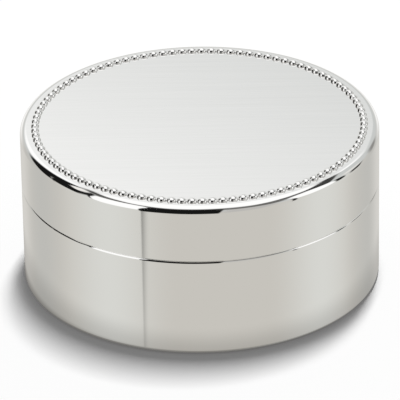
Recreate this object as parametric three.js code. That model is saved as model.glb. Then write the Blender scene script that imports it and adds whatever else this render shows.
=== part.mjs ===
// A round keepsake box with a lift-off lid, in silver-plated sheet brass.
//
// The base is a drawn cup and the lid a drawn cap of the same outside radius, so that the
// two meet at one thin, flush seam. A rolled collar inside the base's rim stands up into the
// lid and keeps the two in line. A border of beaded wire lies around the lid's flat top.
// The base's wall and floor and the inside of the lid's top are lined with velvet over card,
// and a felt disc sits in a recess under the base.
//
// Millimetres, +Z up. The origin is the middle of the felt's lower face, on the table.

import * as THREE from 'three';

// The box as a whole
const outerRadius = 54;
const sheetThickness = 1.2;
const seamGap = 0.3;
const glueGap = 0.1;

// The base, without the felt that it stands on
const baseHeight = 30.95;
const baseCornerRadius = 2.2;
const baseRimRoundShare = 0.7;
const rimFillet = 0.3;

// The recess pressed up into the base's underside, and its felt
const recessRadius = 47.5;
const recessDepth = 0.7;
const recessSlopeWidth = 0.8;
const feltStand = 0.4;
const feltSideClearance = 0.6;

// The collar that guides the lid
const collarThickness = 0.8;
const collarClearance = 0.25;
const collarBelowRim = 7;
const collarAboveRim = 5;
const collarLeadIn = 0.4;
const collarLeadHeight = 1.2;

// The lid
const lidHeight = 17.35;
const lidShoulderRadius = 2;

// The beaded wire on the lid, a half-round wire pressed into a row of beads
const beadRingInset = 4.85;
const beadRadius = 1.25;
const beadPitch = 3;
const beadHeightShare = 0.84;
const beadNeckShare = 0.42;
const solderGap = 0.05;

// The linings
const clothThickness = 0.6;
const cardThickness = 1;
const wallCardThickness = 0.8;
const liningBelowCollarTop = 0.9;
const liningFoldLength = 6;
const foldRoundShare = 0.4;
const padSideClearance = 0.35;
const padEdgeRadius = 1.9;
const padHemWidth = 8;
const floorFoamThickness = 2.6;
const floorPadCrown = 0.9;
const lidFoamThickness = 1.9;
const lidPadCrown = 0.7;
const lidPadInset = 0.9;

// How finely round stretches are cut into flats
const metalSegments = 64;
const clothSegments = 40;
const arcTolerance = 0.04;
const crownSteps = 3;
const stationsPerBead = 4;
const beadArcSteps = 4;

// Places that follow from the sizes above. Heights are above the table.
const innerRadius = outerRadius - sheetThickness;
const baseBottom = feltStand;
const recessCeiling = baseBottom + recessDepth;
const floorTop = recessCeiling + sheetThickness;
const floorEdgeRadius = recessRadius - sheetThickness;
const channelTop = baseBottom + sheetThickness;
const rimTop = baseBottom + baseHeight;
const collarTop = rimTop + collarAboveRim;
const collarOuterRadius = innerRadius - collarClearance;
const collarInnerRadius = collarOuterRadius - collarThickness;
const lidBottom = rimTop + seamGap;
const lidTop = lidBottom + lidHeight;
const lidCeiling = lidTop - sheetThickness;
const lidInnerShoulderRadius = Math.max(rimFillet, lidShoulderRadius - sheetThickness);
const liningTop = collarTop - liningBelowCollarTop;
const liningOuterRadius = collarInnerRadius - glueGap;
const wallCardOuterRadius = liningOuterRadius - clothThickness - glueGap;
const wallCardInnerRadius = wallCardOuterRadius - wallCardThickness;
const liningClothRadius = wallCardInnerRadius - glueGap;
const liningInnerRadius = liningClothRadius - clothThickness;

const materials = {
  silver: new THREE.MeshStandardMaterial({ color: 0xd6d4ce, roughness: 0.1, metalness: 1 }),
  velvet: new THREE.MeshStandardMaterial({ color: 0x1b2138, roughness: 0.95, metalness: 0 }),
  card: new THREE.MeshStandardMaterial({ color: 0x9a8f7c, roughness: 0.9, metalness: 0 }),
  foam: new THREE.MeshStandardMaterial({ color: 0xe6e2d6, roughness: 1, metalness: 0 }),
  felt: new THREE.MeshStandardMaterial({ color: 0x20242e, roughness: 1, metalness: 0 }),
};

// A quarter arc around (centreRadius, centreHeight), from outermost to topmost, as outline points.
function quarterArc(centreRadius, centreHeight, radius, steps) {
  return Array.from({ length: steps + 1 }, (_, i) => {
    const angle = (Math.PI / 2) * (i / steps);
    const across = radius * Math.cos(angle);
    const up = radius * Math.sin(angle);
    return new THREE.Vector2(centreRadius + across, centreHeight + up);
  });
}

// Rounds one corner of an outline with an arc that runs tangent to both sides. The arc has as
// few steps as keep its flats within arcTolerance of the true curve.
function roundCorner(before, corner, after, fillet) {
  const back = before.clone().sub(corner).normalize();
  const ahead = after.clone().sub(corner).normalize();
  const halfAngle = Math.acos(THREE.MathUtils.clamp(back.dot(ahead), -1, 1)) / 2;
  const middle = back.clone().add(ahead).normalize();
  const centre = corner.clone().addScaledVector(middle, fillet / Math.sin(halfAngle));
  const start = corner.clone().addScaledVector(back, fillet / Math.tan(halfAngle)).sub(centre);
  const side = Math.sign(back.cross(start));
  const turn = Math.PI - 2 * halfAngle;
  const stepAngle = 2 * Math.acos(Math.max(0, 1 - arcTolerance / fillet));
  const steps = Math.max(1, Math.ceil(turn / stepAngle));
  const origin = new THREE.Vector2();
  return Array.from({ length: steps + 1 }, (_, i) =>
    start.clone().rotateAround(origin, side * turn * i / steps).add(centre));
}

// An outline through corners of [radius, height, fillet]. A closed one comes back to its start,
// and an open one starts and ends on the axis.
function outline(corners, closed) {
  const points = corners.map(([radius, height]) => new THREE.Vector2(radius, height));
  const count = points.length;
  const rounded = points.flatMap((point, i) => {
    const fillet = corners[i][2] ?? 0;
    const before = points[(i + count - 1) % count];
    const after = points[(i + 1) % count];
    return fillet > 0 ? roundCorner(before, point, after, fillet) : [point];
  });
  return closed ? [...rounded, rounded[0].clone()] : rounded;
}

// Turns an outline about the upright axis. Its points run up the outside and down the inside.
function revolve(name, points, material, segments) {
  const geometry = new THREE.LatheGeometry(points, segments);
  geometry.rotateX(Math.PI / 2);
  const mesh = new THREE.Mesh(geometry, material);
  mesh.name = name;
  return mesh;
}

// The base: a cup with a shallow recess pressed up into its underside, whose step shows inside
// as a channel around the floor, and with a small radius where the wall meets the bottom. The
// rim's outer edge is rounded over, so that it shows as a fine line under the lid.
function makeBaseShell() {
  const halfSlope = recessSlopeWidth / 2;
  const stepFillet = recessDepth / 2;
  const corners = [
    [0, recessCeiling],
    [recessRadius - halfSlope, recessCeiling, stepFillet],
    [recessRadius + halfSlope, baseBottom, stepFillet],
    [outerRadius, baseBottom, baseCornerRadius],
    [outerRadius, rimTop, baseRimRoundShare * sheetThickness],
    [innerRadius, rimTop, rimFillet],
    [innerRadius, channelTop, baseCornerRadius - sheetThickness],
    [floorEdgeRadius + halfSlope, channelTop, stepFillet],
    [floorEdgeRadius - halfSlope, floorTop, stepFillet],
    [0, floorTop],
  ];
  return revolve('base_shell', outline(corners, false), materials.silver, metalSegments);
}

// The collar is soldered inside the base's rim. Its top leans in to lead the lid on.
function makeGuideCollar() {
  const bottom = rimTop - collarBelowRim;
  const corners = [
    [collarInnerRadius, bottom],
    [collarOuterRadius, bottom],
    [collarOuterRadius, collarTop - collarLeadHeight, collarLeadHeight],
    [collarOuterRadius - collarLeadIn, collarTop],
    [collarInnerRadius, collarTop],
  ];
  return revolve('guide_collar', outline(corners, true), materials.silver, metalSegments);
}

// The lid: a cap with a flat top, a rounded shoulder and a straight skirt down to the seam.
function makeLidShell() {
  const corners = [
    [0, lidCeiling],
    [innerRadius, lidCeiling, lidInnerShoulderRadius],
    [innerRadius, lidBottom, rimFillet],
    [outerRadius, lidBottom, rimFillet],
    [outerRadius, lidTop, lidShoulderRadius],
    [0, lidTop],
  ];
  return revolve('lid_shell', outline(corners, false), materials.silver, metalSegments);
}

// The beaded border: a half-round section carried around the lid, whose radius swells and
// shrinks once per bead as sqrt(1 - t * t), with t from -1 to 1 along the bead. Between two
// beads the wire keeps a thin neck. The count is what the ring's length gives room for.
function makeBeadBorder() {
  const ringRadius = outerRadius - beadRingInset;
  const beadCount = Math.round(2 * Math.PI * ringRadius / beadPitch);
  const stationCount = beadCount * stationsPerBead;
  const pointsAcross = beadArcSteps + 1;
  const positions = [];
  const triangles = [];
  for (let station = 0; station < stationCount; station += 1) {
    const alongBead = (2 * (station % stationsPerBead)) / stationsPerBead - 1;
    const swell = Math.max(beadNeckShare, Math.sqrt(1 - alongBead ** 2));
    const angle = (2 * Math.PI * station) / stationCount;
    for (let i = 0; i < pointsAcross; i += 1) {
      const around = (Math.PI * i) / beadArcSteps;
      const radius = ringRadius + beadRadius * swell * Math.cos(around);
      const height = beadHeightShare * beadRadius * swell * Math.sin(around);
      positions.push(radius * Math.cos(angle), radius * Math.sin(angle), height);
    }
    const here = station * pointsAcross;
    const next = ((station + 1) % stationCount) * pointsAcross;
    for (let i = 0; i < pointsAcross; i += 1) {
      const j = (i + 1) % pointsAcross;
      triangles.push(here + i, next + i, next + j, here + i, next + j, here + j);
    }
  }
  const geometry = new THREE.BufferGeometry();
  geometry.setAttribute('position', new THREE.Float32BufferAttribute(positions, 3));
  geometry.setIndex(triangles);
  geometry.computeVertexNormals();
  const mesh = new THREE.Mesh(geometry, materials.silver);
  mesh.name = 'bead_border';
  mesh.position.z = lidTop + solderGap;
  return mesh;
}

// The felt lies in the recess and stands proud of it, so that the metal never meets the table.
function makeUndersideFelt() {
  const radius = recessRadius - recessSlopeWidth - feltSideClearance;
  const thickness = recessCeiling - glueGap;
  const corners = [[0, 0], [radius, 0], [radius, thickness], [0, thickness]];
  return revolve('underside_felt', outline(corners, false), materials.felt, clothSegments);
}

// The card strip inside the wall stands in the channel around the floor.
function makeWallCard() {
  const bottom = channelTop + glueGap;
  const top = liningTop - clothThickness - glueGap;
  const corners = [
    [wallCardInnerRadius, bottom],
    [wallCardOuterRadius, bottom],
    [wallCardOuterRadius, top],
    [wallCardInnerRadius, top],
  ];
  return revolve('wall_card', outline(corners, true), materials.card, clothSegments);
}

// The wall's velvet covers the card strip's inner face, turns over its top edge in a round
// fold and comes a little way down behind it, between the card and the collar.
function makeWallVelvet() {
  const bottom = channelTop + glueGap;
  const foldBottom = liningTop - liningFoldLength;
  const foldFillet = foldRoundShare * (liningOuterRadius - liningInnerRadius);
  const underFold = liningTop - clothThickness;
  const corners = [
    [liningInnerRadius, bottom],
    [liningClothRadius, bottom],
    [liningClothRadius, underFold],
    [liningOuterRadius - clothThickness, underFold],
    [liningOuterRadius - clothThickness, foldBottom],
    [liningOuterRadius, foldBottom],
    [liningOuterRadius, liningTop, foldFillet],
    [liningInnerRadius, liningTop, foldFillet],
  ];
  return revolve('wall_velvet', outline(corners, true), materials.velvet, clothSegments);
}

// The crowned top of a pad, from its rounded edge in to the axis. The height above the edge
// is crown * (1 - s * s), with s the share of the way out. A layer that lies depth below the
// pad's outer face has the same edge centre and a smaller edge radius.
function crownedTop(radius, edgeHeight, crown, depth) {
  const crownRadius = radius - padEdgeRadius;
  const edge = quarterArc(crownRadius, edgeHeight - padEdgeRadius, padEdgeRadius - depth, crownSteps);
  const middle = Array.from({ length: crownSteps }, (_, i) => {
    const outwardShare = 1 - (i + 1) / crownSteps;
    const height = edgeHeight - depth + crown * (1 - outwardShare ** 2);
    return new THREE.Vector2(crownRadius * outwardShare, height);
  });
  return [...edge, ...middle];
}

// A lining pad lying on height 0, crown up: a card disc, a foam disc on it, and a velvet cover
// that is drawn over both and turned in under the card. Returns the group of its three pieces.
function makePad(place, radius, foamThickness, crown) {
  const coverDepth = clothThickness + glueGap;
  const coverInnerRadius = radius - clothThickness;
  const layerRadius = radius - coverDepth;
  const cardBottom = coverDepth;
  const cardTop = cardBottom + cardThickness;
  const foamBottom = cardTop + glueGap;
  const edgeHeight = foamBottom + foamThickness + coverDepth;
  const hemRadius = radius - padHemWidth;

  const card = outline([
    [0, cardBottom],
    [layerRadius, cardBottom],
    [layerRadius, cardTop],
    [0, cardTop],
  ], false);
  const foam = [
    new THREE.Vector2(0, foamBottom),
    new THREE.Vector2(layerRadius, foamBottom),
    ...crownedTop(radius, edgeHeight, crown, coverDepth),
  ];
  const hem = new THREE.Vector2(hemRadius, 0);
  const lowerCorner = new THREE.Vector2(radius, 0);
  const upperCorner = new THREE.Vector2(radius, edgeHeight);
  const cover = [
    ...crownedTop(radius, edgeHeight, crown, clothThickness).reverse(),
    new THREE.Vector2(coverInnerRadius, clothThickness),
    new THREE.Vector2(hemRadius, clothThickness),
    hem,
    ...roundCorner(hem, lowerCorner, upperCorner, clothThickness),
    ...crownedTop(radius, edgeHeight, crown, 0),
  ];

  const pad = new THREE.Group();
  pad.add(
    revolve(`${place}_card`, card, materials.card, clothSegments),
    revolve(`${place}_foam`, foam, materials.foam, clothSegments),
    revolve(`${place}_velvet`, cover, materials.velvet, clothSegments),
  );
  return pad;
}

const floorPad = makePad('floor', liningInnerRadius - padSideClearance, floorFoamThickness, floorPadCrown);
floorPad.position.z = floorTop + glueGap;

const lidPadRadius = innerRadius - lidInnerShoulderRadius - lidPadInset;
const lidPad = makePad('lid', lidPadRadius, lidFoamThickness, lidPadCrown);
lidPad.rotation.x = Math.PI;
lidPad.position.z = lidCeiling - glueGap;

const base = new THREE.Group();
base.add(makeBaseShell(), makeGuideCollar(), makeUndersideFelt());
base.add(makeWallCard(), makeWallVelvet(), floorPad);

const lid = new THREE.Group();
lid.add(makeLidShell(), makeBeadBorder(), lidPad);

const box = new THREE.Group();
box.add(base, lid);

export default box;
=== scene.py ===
# %% [markdown]
# # A round keepsake box in silver plate
# The box is a drawn cup with a drawn cap on it, polished until both mirror what stands round
# them. So most of its look is the studio that it mirrors, and most of this lesson's care goes
# into true surfaces, a few smooth radii and the cards and softboxes that show in them.
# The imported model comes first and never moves. Every piece below is laid over one of its parts.

# %% Load the frame
import math

import bpy
import numpy as np
from mathutils import Matrix, Vector


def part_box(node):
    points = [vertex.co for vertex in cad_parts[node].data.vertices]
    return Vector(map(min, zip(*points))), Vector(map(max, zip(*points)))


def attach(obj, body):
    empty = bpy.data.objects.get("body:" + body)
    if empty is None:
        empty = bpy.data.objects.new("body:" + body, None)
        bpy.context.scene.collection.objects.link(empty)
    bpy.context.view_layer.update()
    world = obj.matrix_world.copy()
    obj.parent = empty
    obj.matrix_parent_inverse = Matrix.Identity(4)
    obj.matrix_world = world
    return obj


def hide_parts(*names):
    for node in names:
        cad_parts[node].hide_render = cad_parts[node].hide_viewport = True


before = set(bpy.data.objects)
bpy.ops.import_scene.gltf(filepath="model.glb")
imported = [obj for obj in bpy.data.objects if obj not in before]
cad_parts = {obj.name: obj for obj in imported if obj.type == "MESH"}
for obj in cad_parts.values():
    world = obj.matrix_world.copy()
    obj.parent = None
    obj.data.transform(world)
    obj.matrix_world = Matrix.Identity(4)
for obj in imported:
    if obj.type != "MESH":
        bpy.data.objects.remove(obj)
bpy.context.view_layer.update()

# %% [markdown]
# ## Sizes
# The frame says where each sheet, ring and pad lies, so the radii and heights are read from its
# parts. Only what a bounding box can't show, such as a fillet, is written down here. Everything
# is in metres, and MM turns millimetres into them.

# %% Read the sizes from the frame
MM = 0.001


def reach(node):
    """The outermost radius, the lowest height and the highest height of a round part."""
    low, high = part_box(node)
    return high[0], low[2], high[2]


OUTER, BASE_BOTTOM, RIM_TOP = reach("base_shell")
LID_TOP = reach("lid_shell")[2]
COLLAR_OUTER, COLLAR_BOTTOM, COLLAR_TOP = reach("guide_collar")
BEADS_OUTER = reach("bead_border")[0]
LINING_OUTER, LINING_BOTTOM, LINING_TOP = reach("wall_velvet")
FELT_OUTER, FELT_BOTTOM, FELT_TOP = reach("underside_felt")

SHEET = 1.2 * MM
INNER = OUTER - SHEET
CLOTH = 0.6 * MM
print("outer radius", round(OUTER / MM, 2), "mm, flat top at", round(LID_TOP / MM, 2), "mm")

# %% [markdown]
# ## The camera
# The photograph was taken from far off with a long lens, so the box hardly narrows with depth.
# A camera fitted to the ellipses of the top, the beads, the seam and the foot stands 26 radii
# from the lid and looks 27 degrees down at it. It is then turned to the middle of the
# picture, a little below the lid, so that the lens needs no shift.

# %% Place the camera
VIEW_ELEVATION = math.radians(27.15)
VIEW_DISTANCE = 26 * OUTER
VIEW_ROLL = math.radians(-0.98)
PICTURE_SIDE = 400
LID_CENTRE_PIXEL = (199.42, 123.85)
LID_RADIUS_PIXELS = 179.71
SENSOR_WIDTH = 36.0

ahead = Vector((0, math.cos(VIEW_ELEVATION), -math.sin(VIEW_ELEVATION)))
level_up = Vector((0, math.sin(VIEW_ELEVATION), math.cos(VIEW_ELEVATION)))
level_right = Vector((1, 0, 0))
right = level_right * math.cos(VIEW_ROLL) + level_up * math.sin(VIEW_ROLL)
up = level_up * math.cos(VIEW_ROLL) - level_right * math.sin(VIEW_ROLL)

lid_centre = Vector((0, 0, LID_TOP))
pixel = OUTER / LID_RADIUS_PIXELS
eye = lid_centre - VIEW_DISTANCE * ahead
aim = lid_centre + pixel * (
    (PICTURE_SIDE / 2 - LID_CENTRE_PIXEL[0]) * right - (PICTURE_SIDE / 2 - LID_CENTRE_PIXEL[1]) * up
)
backward = (eye - aim).normalized()
right = (right - right.dot(backward) * backward).normalized()
turn = Matrix((right, backward.cross(right), backward)).transposed()

lens = bpy.data.cameras.new("camera")
lens.sensor_width = SENSOR_WIDTH
lens.lens = SENSOR_WIDTH * LID_RADIUS_PIXELS * VIEW_DISTANCE / OUTER / PICTURE_SIDE
lens.clip_start = 0.05
lens.clip_end = 50
camera = bpy.data.objects.new("camera", lens)
camera.matrix_world = Matrix.Translation(eye) @ turn.to_4x4()
bpy.context.collection.objects.link(camera)
bpy.context.scene.camera = camera
bpy.context.scene.view_settings.view_transform = "Standard"
print("lens", round(lens.lens, 1), "mm at", round(VIEW_DISTANCE, 3), "m")

# %% [markdown]
# ## Shader maths in Python
# A studio and a finish are both long sums of soft edges and noises. Wired by hand they are hard
# to read, so a small class wraps a node's socket. Its operators add Math nodes, and its one
# method `node` adds any other node.

# %% A socket that can be added and multiplied
class Shade:
    """A socket of a node tree. Expressions of it add their nodes to the same tree."""

    def __init__(self, tree, socket=None):
        self.tree = tree
        self.socket = socket

    def node(self, kind, settings=None, inputs=None, output=0):
        """Adds a node: its type, its settings, then its sockets' values or links."""
        made = self.tree.nodes.new(kind)
        for name, value in (settings or {}).items():
            setattr(made, name, value)
        for name, value in (inputs or {}).items():
            if isinstance(value, Shade):
                self.tree.links.new(value.socket, made.inputs[name])
            else:
                made.inputs[name].default_value = value
        return Shade(self.tree, made.outputs[output] if len(made.outputs) else None)

    def maths(self, operation, *numbers):
        return self.node("ShaderNodeMath", {"operation": operation}, dict(enumerate(numbers)))

    def __add__(self, other):
        return self.maths("ADD", self, other)

    def __sub__(self, other):
        return self.maths("SUBTRACT", self, other)

    def __rsub__(self, other):
        return self.maths("SUBTRACT", other, self)

    def __mul__(self, other):
        return self.maths("MULTIPLY", self, other)

    def __truediv__(self, other):
        return self.maths("DIVIDE", self, other)

    def __pow__(self, other):
        return self.maths("POWER", self, other)

    __radd__ = __add__
    __rmul__ = __mul__

    def rise(self, start, end):
        """Climbs smoothly from 0 at start to 1 at end, as 3t^2 - 2t^3."""
        return self.node(
            "ShaderNodeMapRange",
            {"interpolation_type": "SMOOTHSTEP"},
            {"Value": self, "From Min": start, "From Max": end},
        )

    def blend(self, first, second):
        """The colour between first, where this is 0, and second, where it is 1."""
        return self.node(
            "ShaderNodeMix", {"data_type": "RGBA"}, {0: self, 6: first, 7: second}, output=2
        )

    def parts(self):
        """The x, y and z of a vector."""
        split = self.node("ShaderNodeSeparateXYZ", None, {0: self}).socket.node
        return [Shade(self.tree, out) for out in split.outputs]

    def noise(self, scale, detail=2.0, roughness=0.5, stretch=(1, 1, 1), output=0):
        """A cloudy pattern from 0 to 1 over this vector, with its scale in cells a metre."""
        place = self.node("ShaderNodeMapping", None, {"Vector": self, "Scale": stretch})
        inputs = {"Vector": place, "Scale": scale, "Detail": detail, "Roughness": roughness}
        return self.node("ShaderNodeTexNoise", None, inputs, output)


def rgba(red, green, blue):
    """A plain colour for a node's socket."""
    return (red, green, blue, 1.0)


# %% [markdown]
# ## The studio
# Silver has hardly any colour of its own, so the photograph's greys are its surroundings. The
# rounded shoulder mirrors nearly all of them, and its bright and dark bands tell what stood
# there: a round softbox overhead, white cards left, right and behind, and the dark gaps between
# them, through one of which the camera looked. They are painted on the sky, and only mirror
# rays see them. The camera sees plain white instead.
# A flat chart of the sky makes the cards easy to place. Its middle is straight up, one unit is
# one degree away from there, x runs to the right of the box and y towards the camera.

# %% A chart of the sky
DEGREES = 180 / math.pi

world = bpy.data.worlds.new("studio")
bpy.context.scene.world = world
world.use_nodes = True
world.node_tree.nodes.clear()
world.cycles.sampling_method = "NONE"
sky = Shade(world.node_tree)
east, north, height = sky.node("ShaderNodeTexCoord").parts()
azimuth = east.maths("ARCTAN2", east, 0 - north) * DEGREES
from_zenith = height.maths("ARCCOSINE", height) * DEGREES
flat = east.maths("MAXIMUM", (east * east + north * north) ** 0.5, 1e-5)
chart = sky.node("ShaderNodeCombineXYZ", None, {
    0: from_zenith * east / flat, 1: from_zenith * (0 - north) / flat, 2: 1.0,
})


def along_chart(right_part, front_part, offset):
    """The distance right_part * x + front_part * y + offset on the chart."""
    inputs = {0: chart, 1: (float(right_part), float(front_part), float(offset))}
    return chart.node("ShaderNodeVectorMath", {"operation": "DOT_PRODUCT"}, inputs, output=1)


def card(corners, softness=3.0):
    """1 inside a card with these corners and 0 outside it. It is the product of one soft step
    across each side, over the distance to that side. Softness is one width or one per side."""
    middle = np.mean(corners, axis=0)
    inside = 1.0
    widths = np.broadcast_to(softness, len(corners))
    for first, second, width in zip(corners, corners[1:] + corners[:1], widths):
        side = np.subtract(second, first) / math.dist(first, second)
        normal = np.array((-side[1], side[0]))
        normal *= np.sign(normal @ (middle - first))
        distance = along_chart(*normal, -normal @ first)
        inside = distance.rise(-width / 2, width / 2) * inside
    return inside


def oval(centre, half_sizes, tilt=0.0, softness=0.3):
    """1 inside an oval and 0 outside it, a soft step over the root of (u / a)^2 + (v / b)^2."""
    cosine, sine = math.cos(math.radians(tilt)), math.sin(math.radians(tilt))
    total = 0.0
    for (x, y), half in zip(((cosine, sine), (-sine, cosine)), half_sizes):
        share = along_chart(x / half, y / half, -(x * centre[0] + y * centre[1]) / half)
        total = share * share + total
    return 1 - (total ** 0.5).rise(1 - softness, 1 + softness)


def towards(middle, width):
    """A bump of brightness over the azimuth, 1 at its middle and 0 a width away from it."""
    off = (azimuth - middle).maths("ABSOLUTE", azimuth - middle)
    return 1 - off.rise(0, width)


# %% [markdown]
# A tone is written as the silver shows it on the screen, from 0 to 255. Divided by the silver's
# own colour, it gives the light that has to stand in the sky.

# %% The tones of the studio
SILVER = rgba(0.95, 0.945, 0.935)


def shown(red, green, blue):
    """The light that the silver turns into this screen colour, with the sRGB curve undone."""
    screen = np.array((red, green, blue)) / 255
    light = np.where(screen > 0.04, ((screen + 0.055) / 1.055) ** 2.4, screen / 12.92)
    return rgba(*(light / SILVER[:3]).tolist())


def grey(level):
    """A faintly warm grey."""
    return shown(level, level * 0.99, level * 0.97)


WHITE = rgba(1.06, 1.06, 1.06)
TABLE_TONE = shown(198, 195, 188)
TABLE_LIGHT = shown(213, 213, 208)
TABLE_SHADE = shown(188, 187, 182)
SKY_TONE = shown(198, 200, 198)
DARK = grey(22)

# %% [markdown]
# The wall leans neither up nor down, so it mirrors what lies on the table around the box. That
# is one soft grey, lighter where the two side cards throw their light on the table.

# %% Paint the table's tone and the far cards
tent = (towards(-62, 48) + towards(84, 42)).blend(TABLE_TONE, TABLE_LIGHT)
tent = (towards(-124, 34) + towards(136, 34)).blend(tent, TABLE_SHADE)
behind = towards(-160, 24) + towards(160, 24)
tent = (behind * (from_zenith.rise(70, 90) * 0.15)).blend(tent, WHITE)
tent = (behind * (from_zenith.rise(74, 92) - from_zenith.rise(100, 112)) * 0.8).blend(tent, WHITE)
tent = (1 - from_zenith.rise(66, 92)).blend(tent, SKY_TONE)
tent = card([(14, 46), (44, 40), (62, 56), (62, 84), (24, 100)], 14).blend(tent, grey(186))
tent = oval((57, -57), (14, 8), tilt=-15, softness=0.6).blend(tent, grey(140))
tent = card([(52, -22), (64, -36), (70, -36), (70, -17), (60, -15)], 8).blend(tent, grey(225))
tent = card(
    [(-42, -46), (-30, -62), (-8, -66.8), (28.6, -48.3), (-12, -34), (-40, -44)],
    (12, 14, 10.5, 6, 10, 10),
).blend(tent, WHITE)

# %% Paint the window that the camera looks through, and the left side over it
tent = card([(-28, 16), (16, 16), (16, 46), (-28, 46)], 8).blend(tent, grey(75))
tent = card(
    [(-27, 33), (12, 35), (15, 60), (20, 106), (-22, 108), (-74, 93)],
    (14, 2, 2, 7, 7, 2),
).blend(tent, DARK)
tent = card(
    [(-44, 6), (-37, 12), (-30, 22), (-27.5, 32), (-33, 45), (-44, 58), (-62, 80), (-80, 68),
     (-96, 46), (-90, 33)],
    (8, 8, 6, 2, 2, 2, 12, 16, 10, 4),
).blend(tent, WHITE)
tent = card([(-5, -56), (-22, 26), (-37, 14), (-43, 3), (-28, -20)], 5).blend(tent, grey(108))
tent = card([(-10, -46), (-20, -24), (-25, -10), (-33, -10), (-26, -24)], 4).blend(tent, grey(66))
tent = card(
    [(-94, -14), (-88, -34), (-76, -44), (-62, -51), (-47, -51), (-21, -34), (-27, -21), (-42, 2),
     (-60, 18), (-72, 22), (-94, 18)],
    (8, 8, 8, 12, 12, 4, 2.5, 2.5, 8, 12, 10),
).blend(tent, DARK)
tent = card([(-42, 3), (-58, 16), (-92, 36), (-90, 31), (-58, 12.5)], 2).blend(tent, DARK)
tent = card([(-100, -19), (-64, -20.5), (-64, -18.5), (-100, -16.5)], 2).blend(tent, grey(125))
tent = card(
    [(-25, -27), (-38, -19.5), (-50, -11), (-58, 0), (-55, 3), (-44, -2), (-35, -10)],
    (3, 3, 4, 8, 8, 3, 3),
).blend(tent, grey(238))

# %% Paint the right side
tent = card([(27, -20), (38, -12), (44, 4), (48, 24), (34, 34), (27, 0)], 6).blend(tent, grey(98))
tent = card([(12, 18), (36, 18), (52, 34), (48, 46), (34, 52), (13, 52)], 10).blend(tent, grey(105))
tent = card(
    [(43, -8), (56, -6), (84, 1), (86, 18), (80, 34), (70, 42), (58, 37), (48, 28), (42, 12)],
    (3, 3, 12, 10, 8, 5, 5, 6, 5),
).blend(tent, WHITE)
tent = card(
    [(60, -7), (70, -12), (88, -13.5), (93, -5), (88, -0.5), (72, -3)], (3, 3, 8, 4, 3, 3),
).blend(tent, DARK)
tent = card([(70, -38), (88, -38), (92, -22), (76, -20)], 7).blend(tent, grey(60))
tent = card([(4, -57), (57, -5), (42, 0), (28, -16)], 2.5).blend(tent, grey(62))
tent = card([(57, 36), (72, 41), (93, 53), (93, 58), (76, 50)], 3).blend(tent, DARK)

# %% Paint the softbox overhead
tent = card(
    [(-3, -56), (4, -56), (20, -33), (28, -17), (31, 2), (26, 24), (-18, 25), (-26, 6),
     (-23, -18), (-14, -38)],
    (3, 3, 3, 4, 6, 20, 12, 5, 3, 3),
).blend(tent, WHITE)
print("studio cards on a sky of", len(world.node_tree.nodes), "nodes")

# %% [markdown]
# A light path tells the kinds of ray apart. The camera sees white. A mirror ray sees the
# studio, but not when it comes from the floor or from cloth, where it would only throw bright
# specks. All the other rays see an even, dim light.

# %% Show the sky to the rays
AMBIENT = 0.15

path = sky.node("ShaderNodeLightPath").socket.node.outputs
is_camera, is_glossy, is_through, diffuse_depth = (
    Shade(world.node_tree, path[name])
    for name in ("Is Camera Ray", "Is Glossy Ray", "Is Transmission Ray", "Diffuse Depth")
)
plain_white = is_camera.maths("MAXIMUM", is_camera, is_through)
seen = plain_white.blend(rgba(AMBIENT, AMBIENT, AMBIENT), rgba(1, 1, 1))
straight_mirror = is_glossy * (1 - diffuse_depth.maths("MINIMUM", diffuse_depth, 1))
seen = straight_mirror.blend(seen, tent)
background = sky.node("ShaderNodeBackground", None, {"Color": seen, "Strength": 1.0})
sky.node("ShaderNodeOutputWorld", None, {"Surface": background})
print("ambient light", AMBIENT)

# %% [markdown]
# ## The key light
# The shadow runs 15 mm out of the foot in front, but beside the box it is narrow and nearly
# sharp. So the light is a long strip high up, a little behind and to the right, that runs from
# the back to the top. Its power makes white paper under it white:
#     irradiance = power * sin(elevation) / (pi * distance^2) = pi * level
# Mirror rays don't see it, because the overhead softbox on the sky already stands for it.

# %% Add the key light
KEY_AZIMUTH = math.radians(164)
KEY_ELEVATION = math.radians(77.5)
KEY_LENGTH = math.radians(20.5)
KEY_WIDTH = math.radians(5.2)
KEY_DISTANCE = 3.0
KEY_LEVEL = 0.83

key_data = bpy.data.lights.new("key", "AREA")
key_data.shape = "RECTANGLE"
key_data.size = 2 * KEY_DISTANCE * math.tan(KEY_WIDTH / 2)
key_data.size_y = 2 * KEY_DISTANCE * math.tan(KEY_LENGTH / 2)
key_data.energy = KEY_LEVEL * (math.pi * KEY_DISTANCE) ** 2 / math.sin(KEY_ELEVATION)
key = bpy.data.objects.new("key", key_data)
towards_key = Vector((
    math.sin(KEY_AZIMUTH) * math.cos(KEY_ELEVATION),
    -math.cos(KEY_AZIMUTH) * math.cos(KEY_ELEVATION),
    math.sin(KEY_ELEVATION),
))
key.location = KEY_DISTANCE * towards_key
key.rotation_mode = "QUATERNION"
key.rotation_quaternion = towards_key.to_track_quat("Z", "Y")
key.visible_glossy = False
key.visible_camera = False
bpy.context.collection.objects.link(key)
print("key light from", [round(part, 2) for part in towards_key])

# %% [markdown]
# ## Outlines and turned surfaces
# Every rigid piece here is round, so one tool makes most of them: an outline of straight runs
# and tangent arcs, turned about the upright axis. A mirror shows the slightest mistake in a
# surface's direction, so the outline also gives its true normals, and the mesh keeps them.

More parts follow.
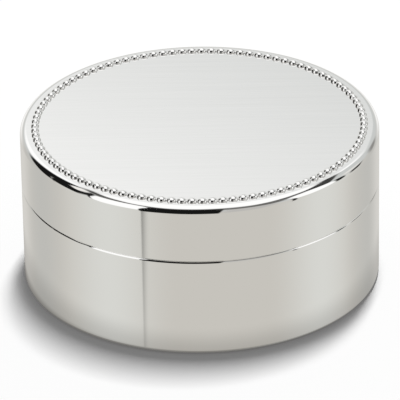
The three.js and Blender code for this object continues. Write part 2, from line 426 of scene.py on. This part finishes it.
# %% Outlines with rounded corners
def outline(corners, closed=False, arc_steps=10, longest_run=None):
    """Points and outward normals of an outline through corners of (radius, height, fillet).

    It runs up the outside and down the inside. With unit directions a into a corner and b out
    of it, the fillet starts at corner - a * fillet * tan(turn / 2), and its point at the share
    u of the turn is centre + side * fillet * n, where n is the direction's right-hand normal.
    """
    count = len(corners)
    places = [np.array(corner[:2], float) for corner in corners]
    fillets = [corner[2] if len(corner) > 2 else 0.0 for corner in corners]
    points, normals = [], []
    for i, corner in enumerate(places):
        into = corner - places[i - 1]
        out = places[(i + 1) % count] - corner
        if not closed and i in (0, count - 1):
            along = out if i == 0 else into
            along = along / np.linalg.norm(along)
            points.append(corner[None])
            normals.append(np.array([[along[1], -along[0]]]))
            continue
        into, out = into / np.linalg.norm(into), out / np.linalg.norm(out)
        turn_angle = math.atan2(into[0] * out[1] - into[1] * out[0], into @ out)
        side = math.copysign(1.0, turn_angle)
        start = corner - into * fillets[i] * math.tan(abs(turn_angle) / 2)
        heading = math.atan2(into[1], into[0]) + turn_angle * np.linspace(0, 1, arc_steps + 1)
        normal = np.stack([np.sin(heading), -np.cos(heading)], -1)
        centre = start - side * fillets[i] * normal[0]
        points.append(centre + side * fillets[i] * normal)
        normals.append(normal)
    points, normals = np.concatenate(points), np.concatenate(normals)
    if longest_run is None:
        return points, normals
    return split_runs(points, normals, closed, longest_run)


def split_runs(points, normals, closed, longest_run):
    """Adds evenly spaced points to each run of an outline that is longer than longest_run."""
    ends = np.roll(points, -1, 0) if closed else points[1:]
    end_normals = np.roll(normals, -1, 0) if closed else normals[1:]
    lengths = np.linalg.norm(ends - points[:len(ends)], axis=1)
    pieces = np.maximum(1, np.ceil(lengths / longest_run)).astype(int)
    first = np.repeat(np.arange(len(ends)), pieces)
    share = (np.arange(len(first)) - np.repeat(np.cumsum(pieces) - pieces, pieces))
    share = (share / np.repeat(pieces, pieces))[:, None]
    new_points = points[first] * (1 - share) + ends[first] * share
    new_normals = normals[first] * (1 - share) + end_normals[first] * share
    if not closed:
        new_points = np.concatenate([new_points, points[-1:]])
        new_normals = np.concatenate([new_normals, normals[-1:]])
    return new_points, new_normals


# %% Skins over a grid of points
def skin(name, grid, closed, poles=None, normals=None):
    """A mesh over a grid of rows and columns of points. Its columns always close on themselves.
    Its rows close on themselves too, or end in two poles. Quads run (i, j), (i, j + 1),
    (i + 1, j + 1), (i + 1, j), so that they face outwards when rows climb the outside."""
    rows, columns = grid.shape[:2]
    index = np.arange(rows * columns).reshape(rows, columns)
    here = index if closed else index[:-1]
    above = np.roll(index, -1, 0) if closed else index[1:]
    quads = np.stack([here, np.roll(here, -1, 1), np.roll(above, -1, 1), above], -1).reshape(-1, 4)
    vertices = grid.reshape(-1, 3)
    faces = quads.tolist()
    if poles is not None:
        first, last = rows * columns, rows * columns + 1
        vertices = np.concatenate([vertices, np.array(poles, float)])
        start, end = index[0], index[-1]
        faces += np.stack([np.full(columns, first), np.roll(start, -1), start], -1).tolist()
        faces += np.stack([end, np.roll(end, -1), np.full(columns, last)], -1).tolist()
    mesh = bpy.data.meshes.new(name)
    mesh.from_pydata(vertices.tolist(), [], faces)
    mesh.shade_smooth()
    if normals is not None:
        mesh.normals_split_custom_set_from_vertices(normals.tolist())
    piece = bpy.data.objects.new(name, mesh)
    bpy.context.collection.objects.link(piece)
    return piece


def turned(name, points, normals, closed=False, segments=256):
    """Turns an outline about the upright axis: (r cos a, r sin a, h) for a from 0 to 2 pi."""
    angle = np.linspace(0, 2 * math.pi, segments, endpoint=False)
    circle = np.stack([np.cos(angle), np.sin(angle)], -1)

    def around(pairs):
        flat = pairs[:, None, :1] * circle[None]
        upright = np.broadcast_to(pairs[:, None, 1:], flat.shape[:2] + (1,))
        return np.concatenate([flat, upright], -1)

    if closed:
        return skin(name, around(points), True, None, around(normals).reshape(-1, 3))
    poles = [(0, 0, points[0, 1]), (0, 0, points[-1, 1])]
    pole_normals = [(0, 0, math.copysign(1, normals[0, 1])), (0, 0, math.copysign(1, normals[-1, 1]))]
    all_normals = np.concatenate([around(normals[1:-1]).reshape(-1, 3), np.array(pole_normals)])
    return skin(name, around(points[1:-1]), False, poles, all_normals)


def finish_piece(piece, body, slot, material, *nodes):
    """Dresses a piece: its body, the nodes it stands for and its material. Its slot is not used."""
    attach(piece, body)
    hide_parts(*nodes)
    piece.data.materials.clear()
    piece.data.materials.append(material)
    print(piece.name, len(piece.data.polygons), "faces")


# %% [markdown]
# ## The floor
# The box stands on white paper. The camera sees the paper as white, with the box's own soft
# shadow. Mirror rays pass through it to the table's tone on the sky, so that the wall keeps its
# even grey. Only close to the foot they meet a painted shadow: a dark film whose strength is set
# by the distance from the foot, and which lies a millimetre further out on the left front than
# on the right.

# %% Make the floor
FLOOR_RADIUS = 4.0
FLOOR_BELOW = 0.05 * MM
FLOOR_LIFT = 0.075
FLOOR_UNDERSIDE = -3 * MM
SHADE_SHIFT = (-1.2 * MM, -1.0 * MM)
WIDE_REACH = 16 * MM
WIDE_DEPTH = 0.3
CONTACT_START = 1.5 * MM
CONTACT_REACH = 2.1 * MM
CONTACT_DEPTH = 0.42

floor_points = np.array([
    (0, FLOOR_UNDERSIDE), (FLOOR_RADIUS, FLOOR_UNDERSIDE), (FLOOR_RADIUS, -FLOOR_BELOW), (0, -FLOOR_BELOW),
])
floor_normals = np.array([(0, -1), (1, 0), (0, 1), (0, 1)], float)
floor = turned("floor", floor_points, floor_normals, segments=96)

paper = bpy.data.materials.new("white_paper")
paper.use_nodes = True
paper.node_tree.nodes.clear()
sheet = Shade(paper.node_tree)
floor_x, floor_y, _ = sheet.node("ShaderNodeTexCoord", None, None, 3).parts()
across_x, across_y = floor_x - SHADE_SHIFT[0], floor_y - SHADE_SHIFT[1]
floor_radius = (across_x * across_x + across_y * across_y) ** 0.5
# Painted shadow for mirror rays: a dark film over the paper, faint out to 16 mm and strong at the foot.
wide_shade = 1 - floor_radius.rise(OUTER, OUTER + WIDE_REACH)
contact_shade = 1 - floor_radius.rise(OUTER - CONTACT_START, OUTER + CONTACT_REACH)
shade = wide_shade * WIDE_DEPTH + contact_shade * CONTACT_DEPTH
clear = sheet.node("ShaderNodeBsdfTransparent")
painted_shadow_film = sheet.node("ShaderNodeEmission", None, {"Color": rgba(0.06, 0.055, 0.05), "Strength": 1.0})
mirrored = sheet.node("ShaderNodeMixShader", None, {0: shade, 1: clear, 2: painted_shadow_film})
lit = sheet.node("ShaderNodeBsdfDiffuse", None, {"Color": rgba(0.96, 0.96, 0.96)})
lift = sheet.node("ShaderNodeEmission", None, {"Color": rgba(1, 1, 1), "Strength": FLOOR_LIFT})
seen_paper = sheet.node("ShaderNodeAddShader", None, {0: lit, 1: lift})
floor_path = sheet.node("ShaderNodeLightPath").socket.node.outputs
glossy_ray = Shade(paper.node_tree, floor_path["Is Glossy Ray"])
surface = sheet.node("ShaderNodeMixShader", None, {0: glossy_ray, 1: seen_paper, 2: mirrored})
from_below = sheet.node("ShaderNodeNewGeometry", None, None, 6)
surface = sheet.node("ShaderNodeMixShader", None, {0: from_below, 1: surface, 2: clear})
sheet.node("ShaderNodeOutputMaterial", None, {"Surface": surface})
floor.data.materials.append(paper)
print("floor radius", FLOOR_RADIUS, "m")

# %% [markdown]
# ## Silver plate
# Plate is buffed on soft wheels, which leaves hair-fine marks and a very slight waviness in
# the sheet. Both only show in the mirrored edges. Where the buff doesn't reach, around the
# beads' feet, the silver keeps a trace of yellow-grey tarnish. The same darker colour there is
# also painted shade, in the crease where the beads meet the flat.

# %% The silver finish
TARNISH_AND_SHADE = rgba(0.72, 0.67, 0.57)


def new_material(name):
    """An empty material with a Principled shader, and the Object coordinates to paint it by."""
    material = bpy.data.materials.new(name)
    material.use_nodes = True
    material.node_tree.nodes.clear()
    start = Shade(material.node_tree)
    place = start.node("ShaderNodeTexCoord", None, None, 3)
    return material, start, place


def silver(name, tarnish_and_shade_low, tarnish_and_shade_high, roughness=0.05):
    """Polished plate: tarnish and painted crease shade between two heights, fine buffing marks and a slow
    waviness.
    """
    material, start, place = new_material(name)
    _, _, tall = place.parts()
    blotches = place.noise(220, 3.0).rise(0.35, 0.75)
    # Darker near the lowest heights: tarnish and painted shade in the crease at the beads' feet.
    low = 1 - tall.rise(tarnish_and_shade_low, tarnish_and_shade_high)
    colour = (low * blotches * 0.55).blend(SILVER, TARNISH_AND_SHADE)
    marks = place.noise(900, 4.0, 0.6, stretch=(0.25, 3, 3))
    rough = marks * 0.02 + blotches * 0.008 + (roughness - 0.014)
    waves = place.noise(26, 1.0)
    slow = start.node("ShaderNodeBump", None, {"Strength": 0.35, "Distance": 0.02 * MM, "Height": waves})
    fine = start.node(
        "ShaderNodeBump", None,
        {"Strength": 0.10, "Distance": 0.002 * MM, "Height": marks, "Normal": slow},
    )
    strokes = place.noise(420, 3.0, 0.55, stretch=(0.05, 1, 1)) * tall.rise(LID_TOP - 0.2 * MM, LID_TOP)
    fine = start.node(
        "ShaderNodeBump", None,
        {"Strength": 1.0, "Distance": 0.006 * MM, "Height": strokes, "Normal": fine},
    )
    shader = start.node("ShaderNodeBsdfPrincipled", None, {
        "Base Color": colour, "Metallic": 1.0, "Roughness": rough, "Normal": fine,
    })
    start.node("ShaderNodeOutputMaterial", None, {"Surface": shader})
    return material


plain_silver = silver("silver_plate", -1, -0.5)
# The beads' lowest 0.12 mm carry tarnish and painted shade where they meet the flat.
bead_silver = silver("bead_silver", LID_TOP, LID_TOP + 0.12 * MM, 0.025)
print("silver", [round(part, 2) for part in SILVER[:3]])

# %% [markdown]
# ## The base and the lid
# Each is one disc of brass sheet, drawn over a die into a cup. Drawing leaves a small radius
# where the wall turns into the flat. The lid's is wide enough to read as a rounded shoulder. The
# base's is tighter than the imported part's, because the photographed wall stays bright until
# close to the foot. The base's floor is pressed up into a shallow recess for the felt.

# %% Make the two shells
SHOULDER_RADIUS = 2.0 * MM
BASE_CORNER_RADIUS = 1.1 * MM
INNER_CORNER_RADIUS = 0.5 * MM
BASE_RIM_FILLET = 0.72 * MM
RIM_FILLET = 0.3 * MM
LID_EDGE_FILLET = 0.15 * MM
SEAM_GAP = 0.07 * MM
RECESS_RADIUS = 47.5 * MM
RECESS_DEPTH = 0.7 * MM
HALF_SLOPE = 0.4 * MM
STEP_FILLET = 0.3 * MM

recess_ceiling = BASE_BOTTOM + RECESS_DEPTH
floor_edge = RECESS_RADIUS - SHEET
base_cup = turned("base_cup", *outline([
    (0, recess_ceiling),
    (RECESS_RADIUS - HALF_SLOPE, recess_ceiling, STEP_FILLET),
    (RECESS_RADIUS + HALF_SLOPE, BASE_BOTTOM, STEP_FILLET),
    (OUTER, BASE_BOTTOM, BASE_CORNER_RADIUS),
    (OUTER, RIM_TOP, BASE_RIM_FILLET),
    (INNER, RIM_TOP, RIM_FILLET),
    (INNER, BASE_BOTTOM + SHEET, INNER_CORNER_RADIUS),
    (floor_edge + HALF_SLOPE, BASE_BOTTOM + SHEET, STEP_FILLET),
    (floor_edge - HALF_SLOPE, recess_ceiling + SHEET, STEP_FILLET),
    (0, recess_ceiling + SHEET),
]))
finish_piece(base_cup, "base", "silver_plate", plain_silver, "base_shell")

lid_cap = turned("lid_cap", *outline([
    (0, LID_TOP - SHEET),
    (INNER, LID_TOP - SHEET, SHOULDER_RADIUS - SHEET),
    (INNER, RIM_TOP + SEAM_GAP, LID_EDGE_FILLET),
    (OUTER, RIM_TOP + SEAM_GAP, LID_EDGE_FILLET),
    (OUTER, LID_TOP, SHOULDER_RADIUS),
    (0, LID_TOP),
], arc_steps=20))
finish_piece(lid_cap, "lid", "silver_plate", plain_silver, "lid_shell")

# %% [markdown]
# ## The guide collar
# A strip of the same sheet, rolled into a ring and soldered inside the base's rim. It stands
# up into the lid, so that the two outer walls meet in one flush line. Its upper edge leans in.

# %% Make the collar
COLLAR_THICKNESS = 0.8 * MM
LEAD_IN = 0.4 * MM
LEAD_HEIGHT = 1.2 * MM
EDGE_FILLET = 0.12 * MM
collar_inner = COLLAR_OUTER - COLLAR_THICKNESS
collar = turned("collar_ring", *outline([
    (collar_inner, COLLAR_BOTTOM, EDGE_FILLET),
    (COLLAR_OUTER, COLLAR_BOTTOM, EDGE_FILLET),
    (COLLAR_OUTER, COLLAR_TOP - LEAD_HEIGHT, LEAD_HEIGHT),
    (COLLAR_OUTER - LEAD_IN, COLLAR_TOP, EDGE_FILLET),
    (collar_inner, COLLAR_TOP, EDGE_FILLET),
], closed=True), closed=True)
finish_piece(collar, "base", "silver_plate", plain_silver, "guide_collar")

# %% [markdown]
# ## The beaded border
# Beaded wire is half-round wire rolled between two notched wheels, so that it swells into a row
# of half pearls. A ring of it is soldered round the lid's flat top. Its surface is a half circle
# carried round the ring, whose radius swells and shrinks once for each bead. The photographed
# ring stands 0.3 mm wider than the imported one, and this one follows it.

# %% Make the beaded wire
BEAD_RADIUS = 1.25 * MM
BEAD_PITCH = 3.015 * MM
BEAD_NECK = 0.36
BEAD_HEIGHT = 1.0 * MM
RING_WIDER = 0.3 * MM
FIRST_BEAD_TURN = -0.1
STATIONS_PER_BEAD = 18
POINTS_ACROSS = 13

ring_radius = BEADS_OUTER - BEAD_RADIUS + RING_WIDER
bead_count = round(2 * math.pi * ring_radius / BEAD_PITCH)
station = np.arange(bead_count * STATIONS_PER_BEAD)
share = (station % STATIONS_PER_BEAD) / STATIONS_PER_BEAD
along_bead = -np.cos(math.pi * share)
swell = np.maximum(BEAD_NECK, np.sqrt(1 - along_bead ** 2))
beads_along = station // STATIONS_PER_BEAD + (along_bead + 1) / 2 + FIRST_BEAD_TURN
bead_angle = 2 * math.pi * beads_along / bead_count
across = np.linspace(0, math.pi, POINTS_ACROSS)[:, None]
bead_r = ring_radius + BEAD_RADIUS * swell * np.cos(across)
bead_z = LID_TOP + BEAD_HEIGHT * swell * np.sin(across)
bead_grid = np.stack([bead_r * np.cos(bead_angle), bead_r * np.sin(bead_angle), bead_z], -1)
beaded_wire = skin("beaded_wire", bead_grid, True)
finish_piece(beaded_wire, "lid", "silver_plate", bead_silver, "bead_border")
print(bead_count, "beads of", round(BEAD_PITCH / MM, 2), "mm pitch")

# %% [markdown]
# ## Materials of the lining
# The photograph shows the box shut, so its lining is what such boxes have: dark blue velvet over
# card and foam. Velvet's pile catches the light at a slant, which the shader calls sheen. Where
# a hand has brushed it, it lies another way and catches more light. That is painted here as
# lighter patches in its colour, a painted sheen. Felt is pressed fibre and has no weave. The
# card's edge and the foam only show when a pad is taken apart.

# %% Velvet, felt, foam and card
def soft_material(name, dark, light, pattern, depth, roughness, sheen=0.0):
    """A matt material. A pattern over the Object coordinates gives its tone and its bumps."""
    material, start, place = new_material(name)
    tone, bumps = pattern(place)
    relief = start.node("ShaderNodeBump", None, {"Strength": 0.8, "Distance": depth, "Height": bumps})
    shader = start.node("ShaderNodeBsdfPrincipled", None, {
        "Base Color": tone.blend(dark, light), "Roughness": roughness, "Normal": relief,
        "Sheen Weight": sheen, "Sheen Roughness": 0.35, "Specular IOR Level": 0.25,
    })
    start.node("ShaderNodeOutputMaterial", None, {"Surface": shader})
    return material


def pile(place):
    """Tufts a third of a millimetre wide, in brushed patches painted lighter as sheen."""
    tufts = place.noise(3000, 2.0, 0.7)
    # Brushed patches painted lighter in the colour: a painted sheen.
    brushed_sheen_patches = place.noise(45, 3.0, 0.6).rise(0.36, 0.62)
    return brushed_sheen_patches * 0.6 + tufts * 0.4, tufts


def fibres(place):
    """Two layers of long thin noise that cross each other."""
    along = place.noise(1500, 3.0, 0.7, stretch=(0.15, 1, 1))
    crossed = along.maths("MAXIMUM", along, place.noise(1500, 3.0, 0.7, stretch=(1, 0.15, 1)))
    return crossed.rise(0.42, 0.75), crossed


def cells(place):
    """Open cells, deep in their middles, which are painted darker as shade."""
    depth = place.node("ShaderNodeTexVoronoi", None, {"Vector": place, "Scale": 1600.0})
    # The cells' depth also darkens their tone: painted shade in the middles.
    return depth * 0.7 + place.noise(60, 2.0) * 0.3, depth


def flecks(place):
    """A cloudy grey-brown with small pale flecks of waste paper."""
    specks = place.noise(1100, 4.0, 0.75).rise(0.56, 0.64)
    return place.noise(80, 4.0) * 0.6 + specks * 0.4, place.noise(1800, 3.0, 0.6)


velvet = soft_material(
    "velvet", rgba(0.010, 0.015, 0.045), rgba(0.045, 0.06, 0.13), pile, 0.12 * MM, 0.95, 0.7,
)
felt_cloth = soft_material(
    "felt", rgba(0.03, 0.033, 0.042), rgba(0.09, 0.095, 0.115), fibres, 0.10 * MM, 1.0, 0.2,
)
foam = soft_material(
    "pad_foam", rgba(0.62, 0.58, 0.48), rgba(0.86, 0.83, 0.74), cells, 0.25 * MM, 0.95,
)
card_stock = soft_material(
    "lining_card", rgba(0.36, 0.31, 0.24), rgba(0.60, 0.54, 0.44), flecks, 0.03 * MM, 0.9,
)
for node in ("wall_card", "floor_card", "lid_card"):
    bpy.data.objects[node].data.materials.clear()
    bpy.data.objects[node].data.materials.append(card_stock)
print("four soft materials")

# %% [markdown]
# ## The felt under the base
# A disc of felt, glued into the recess, with edges that the cutting has rounded a little. Felt
# is never quite even, so its rim wanders by a tenth of a millimetre.

# %% Lay the felt
FELT_EDGE = 0.2 * MM
FELT_WANDER = 0.06 * MM
FELT_TRIM = 0.08 * MM
WANDER_REACH = 3 * MM

felt_points, felt_normals = outline([
    (0, FELT_BOTTOM),
    (FELT_OUTER, FELT_BOTTOM, FELT_EDGE),
    (FELT_OUTER, FELT_TOP, FELT_EDGE),
    (0, FELT_TOP),
], arc_steps=4, longest_run=4 * MM)
felt = turned("felt_disc", felt_points, felt_normals, segments=360)


def positions(piece):
    """The places of a piece's vertices, one row each."""
    places = np.empty(3 * len(piece.data.vertices))
    piece.data.vertices.foreach_get("co", places)
    return places.reshape(-1, 3)


def move_to(piece, places):
    """Puts a piece's vertices at these places and lets Blender work out its normals again."""
    piece.data.vertices.foreach_set("co", places.ravel())
    if piece.data.has_custom_normals:
        piece.data.attributes.remove(piece.data.attributes["custom_normal"])
    piece.data.update()


felt_places = positions(felt)
turn_of = np.arctan2(felt_places[:, 1], felt_places[:, 0])
wander = np.sin(7 * turn_of + 1) + 0.6 * np.sin(23 * turn_of) + 0.4 * np.sin(61 * turn_of + 2)
felt_radius = np.maximum(np.hypot(felt_places[:, 0], felt_places[:, 1]), 1e-6)
nearness = np.clip((felt_radius - FELT_OUTER + WANDER_REACH) / WANDER_REACH, 0, 1)
felt_places[:, :2] *= (1 + (FELT_WANDER * wander - FELT_TRIM) * nearness / felt_radius)[:, None]
move_to(felt, felt_places)
finish_piece(felt, "base", "felt", felt_cloth, "underside_felt")

# %% [markdown]
# ## The velvet on the wall
# One strip of velvet covers the card inside the wall. It is turned over the card's top and 6 mm
# down behind it. Its two ends meet at the back, where the seam shows as a fine dent. Stretched
# cloth still has some life: it stands off the card by a few hundredths in long shallow waves.

# %% Stretch the velvet round the wall
FOLD_LENGTH = 6 * MM
SEAM_DEPTH = 0.34 * MM
SEAM_WIDTH = 0.8 * MM
LINING_STEP = 3.1 * MM
CUT_FILLET = 0.15 * MM
FOLD_FILLET = 0.9 * MM
lining_inner = COLLAR_OUTER - LINING_STEP
cloth_radius = lining_inner + CLOTH
under_fold = LINING_TOP - CLOTH
fold_bottom = LINING_TOP - FOLD_LENGTH
lining_points, lining_normals = outline([
    (lining_inner, LINING_BOTTOM, CUT_FILLET),
    (cloth_radius, LINING_BOTTOM, CUT_FILLET),
    (cloth_radius, under_fold),
    (LINING_OUTER - CLOTH, under_fold),
    (LINING_OUTER - CLOTH, fold_bottom, CUT_FILLET),
    (LINING_OUTER, fold_bottom, CUT_FILLET),
    (LINING_OUTER, LINING_TOP, FOLD_FILLET),
    (lining_inner, LINING_TOP, FOLD_FILLET),
], closed=True, arc_steps=6, longest_run=1.6 * MM)
lining = turned("wall_lining", lining_points, lining_normals, closed=True, segments=480)

places = positions(lining)
turn_of = np.arctan2(places[:, 0], places[:, 1])
radius = np.hypot(places[:, 0], places[:, 1])
seam = np.exp(-(turn_of * lining_inner / SEAM_WIDTH) ** 2)
seen = np.clip((cloth_radius - 0.1 * MM - radius) / (0.3 * MM), 0, 1)
top = np.clip((places[:, 2] - LINING_TOP + 0.5 * MM) / (0.5 * MM), 0, 1)
waves = np.sin(9 * turn_of + 80 * places[:, 2]) + 0.7 * np.sin(17 * turn_of - 140 * places[:, 2] + 1)
outward = seen * (SEAM_DEPTH * seam + 0.03 * MM * waves)
places[:, :2] *= (1 + outward / radius)[:, None]
places[:, 2] -= top * (SEAM_DEPTH * 0.7 * seam + 0.05 * MM * (1 + np.sin(31 * turn_of)) / 2)
move_to(lining, places)
finish_piece(lining, "base", "velvet", velvet, "wall_velvet")
strip_length = 2 * math.pi * (lining_inner + CLOTH / 2)
strip_width = LINING_TOP - LINING_BOTTOM + LINING_OUTER - lining_inner - 2 * CLOTH + FOLD_LENGTH
print("strip", round(strip_length / MM, 1), "by", round(strip_width / MM, 1), "mm")

# %% [markdown]
# ## The two pads
# Each pad is a card disc, a foam disc and a velvet cover that is drawn over both and glued under
# the card. The cover's form is computed, not simulated: a low crown, a rounded edge and fine
# uneven gathers around it. It is open underneath, where its hem ends, and gets its thickness
# inwards.

# %% Shape a cover
HEM_WIDTH = 8 * MM
PAD_EDGE = 1.9 * MM
PAD_COLUMNS = 192
GATHERS_IN = 1.2 * MM
GATHERS_WIDTH = 2.2 * MM
GATHERS_UP = 0.10 * MM
GATHERS_OUT = 0.06 * MM


def pad_outline(radius, edge_height, crown):
    """An outline round a pad that lies on height 0. The crown adds crown * (1 - s^2) to its top,
    with s the share of the way out to the rounded edge."""
    points, normals = outline([
        (0, 0),
        (radius - HEM_WIDTH, 0),
        (radius, 0, CLOTH),
        (radius, edge_height, PAD_EDGE),
        (0, edge_height),
    ], arc_steps=5, longest_run=2.6 * MM)
    share = np.clip(points[:, 0] / (radius - PAD_EDGE), 0, 1)
    points[:, 1] += crown * (1 - share ** 2) * (points[:, 1] > edge_height / 2)
    return points, normals


def gathers(angle, seed):
    """Uneven little puckers around an edge, from -1 to 1."""
    drift = 1.7 * np.sin(5 * angle + seed) + 0.9 * np.sin(13 * angle + 2 * seed)
    return 0.6 * np.sin(47 * angle + drift) + 0.4 * np.sin(71 * angle - 2 * drift)


def make_pad(radius, edge_height, crown, seed):
    """The velvet cover of a pad that lies on height 0, crown up, as a skin with a thickness."""
    points, normals = pad_outline(radius, edge_height, crown)
    form = turned("form", points, normals, segments=PAD_COLUMNS)
    rows = len(points) - 2
    ring = positions(form)[:-2].reshape(rows, PAD_COLUMNS, 3)
    angle = np.arctan2(ring[..., 1], ring[..., 0])
    flat_radius = np.hypot(ring[..., 0], ring[..., 1])
    near_edge = np.exp(-((flat_radius - radius + GATHERS_IN) / GATHERS_WIDTH) ** 2)
    pucker = near_edge * np.clip(ring[..., 2] / edge_height, 0, 1) * gathers(angle, seed)
    ring[..., 2] += GATHERS_UP * pucker
    flat_radius += GATHERS_OUT * pucker
    ring = np.stack([flat_radius * np.cos(angle), flat_radius * np.sin(angle), ring[..., 2]], -1)
    top_pole = np.array([0, 0, ring[-1, :, 2].mean()])
    move_to(form, np.concatenate([ring.reshape(-1, 3), [(0, 0, 0), top_pole]]))
    facing = np.empty(3 * len(form.data.vertices))
    form.data.vertices.foreach_get("normal", facing)
    facing = facing.reshape(-1, 3)[:-2].reshape(rows, PAD_COLUMNS, 3)
    bpy.data.objects.remove(form)
    hem_row = int(np.argmin(np.abs(points[1:-1, 0] - (radius - HEM_WIDTH)) + points[1:-1, 1]))
    outer_skin = ring[hem_row:]
    inner_skin = outer_skin - CLOTH * facing[hem_row:]
    grid = np.concatenate([inner_skin[::-1], outer_skin])
    return grid, [top_pole - (0, 0, CLOTH), top_pole]


def place_pad(name, grid, poles, height, upside_down):
    """Puts a pad with its back at this height. An upside-down one is mirrored, and its columns
    run backwards, so that its faces still look outwards."""
    grid, poles = grid.copy(), np.array(poles)
    if upside_down:
        grid = grid[:, ::-1] * (1, 1, -1)
        poles = poles * (1, 1, -1)
    return skin(name, grid + (0, 0, height), False, poles + (0, 0, height))


def subdivide(piece):
    """One level of subdivision, the same in every view."""
    rounding = piece.modifiers.new("subdivision", "SUBSURF")
    rounding.levels = rounding.render_levels = 1


# %% Make the floor pad and the lid pad
LAYER_GAP = 0.15 * MM
FOAM_BACK_EDGE = 0.2 * MM
for place, body, upside_down, foam_thickness, crown, seed in (
    ("floor", "base", False, 2.6 * MM, 0.6 * MM, 0.4),
    ("lid", "lid", True, 1.9 * MM, 0.4 * MM, 2.1),
):
    cover_radius, cover_bottom, cover_top = reach(f"{place}_velvet")
    foam_radius, foam_bottom, foam_top = reach(f"{place}_foam")
    back = cover_top if upside_down else cover_bottom
    foam_back = abs((foam_top if upside_down else foam_bottom) - back)
    edge_height = foam_back + foam_thickness + CLOTH
    cover_grid, cover_poles = make_pad(cover_radius - LAYER_GAP, edge_height, crown, seed)
    cover = place_pad(f"{place}_cushion", cover_grid, cover_poles, back, upside_down)
    subdivide(cover)
    finish_piece(cover, body, "velvet", velvet, f"{place}_velvet")

    foam_points, foam_normals = outline([
        (0, 0),
        (foam_radius - LAYER_GAP, 0, FOAM_BACK_EDGE),
        (foam_radius - LAYER_GAP, foam_thickness - LAYER_GAP, PAD_EDGE - CLOTH),
        (0, foam_thickness - LAYER_GAP),
    ], arc_steps=5, longest_run=3 * MM)
    share = np.clip(foam_points[:, 0] / (foam_radius - PAD_EDGE), 0, 1)
    foam_points[:, 1] += crown * (1 - share ** 2) * (foam_points[:, 1] > foam_thickness / 2)
    if upside_down:
        foam_points = foam_points[::-1] * (1, -1) + (0, back - foam_back)
        foam_normals = foam_normals[::-1] * (1, -1)
    else:
        foam_points = foam_points + (0, back + foam_back)
    core = turned(f"{place}_foam_disc", foam_points, foam_normals, segments=128)
    finish_piece(core, body, "pad_foam", foam, f"{place}_foam")
